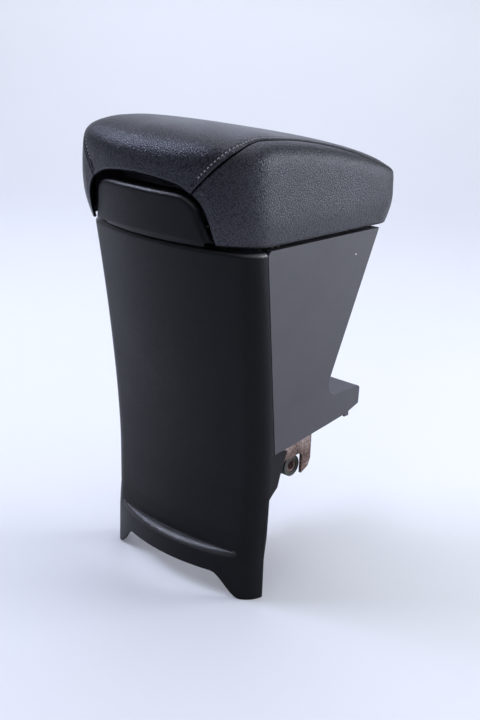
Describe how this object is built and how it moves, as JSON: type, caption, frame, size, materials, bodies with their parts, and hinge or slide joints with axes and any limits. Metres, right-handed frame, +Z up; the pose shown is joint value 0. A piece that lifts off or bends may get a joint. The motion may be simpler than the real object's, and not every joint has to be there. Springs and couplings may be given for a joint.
{
  "type": "car centre armrest",
  "caption": "Car centre armrest: a padded leather lid on a rear hinge, with a front latch, over a moulded storage bin on a steel bracket.",
  "frame": {"origin": "On the floor plane the legs stand on, midway along and across the lid", "axes": "+X to the right across the car, +Y to the front of the car, +Z up; the lid is closed"},
  "size_m": [0.196, 0.2379, 0.4043],
  "materials": {
    "cover_plastic": "fine grain, dark",
    "body_plastic": "fine grain, satin",
    "bin_plastic": "plain moulded",
    "leather": "coarse pebbled grain, light grey stitching",
    "foam": "open cell foam",
    "zinc_steel": "zinc plated",
    "black_steel": "black",
    "rusty_steel": "surface rust",
    "bush_rubber": "worn, olive grey",
    "soft_rubber": "matt",
    "bush_plastic": "natural"
  },
  "bodies": {
    "body": {"rear_cover": "cover_plastic", "housing": "body_plastic", "storage_bin": "bin_plastic", "bin_mat": "soft_rubber", "hinge_cover": "cover_plastic", "hinge_bracket": "zinc_steel", "hinge_bushes": "bush_plastic", "striker": "zinc_steel", "lid_buffers": "soft_rubber", "mounting_bracket": "rusty_steel", "bracket_bush": "bush_rubber", "shelf_clips": "body_plastic", "cover_clips": "zinc_steel", "bin_screws": "black_steel"},
    "lid": {"hinge_pin": "zinc_steel", "hinge_arms": "zinc_steel", "lid_base": "body_plastic", "lid_foam": "foam", "leather_top": "leather", "leather_right": "leather", "leather_left": "leather", "latch_pin": "zinc_steel", "latch_spring": "zinc_steel", "lid_screws": "black_steel"},
    "latch": {"latch_lever": "body_plastic"}
  },
  "joints": [
    {"name": "lid_hinge", "type": "hinge", "parent": "body", "child": "lid", "pos_m": [0, -0.09, 0.328], "axis": [1, 0, 0], "range_deg": [0, 80]},
    {"name": "latch_hinge", "type": "hinge", "parent": "lid", "child": "latch", "pos_m": [0, 0.0755, 0.33], "axis": [1, 0, 0], "range_deg": [0, 14], "stiffness_Nm_per_rad": 0.1, "springref_deg": -20.05, "deforming": ["latch_spring"]}
  ]
}
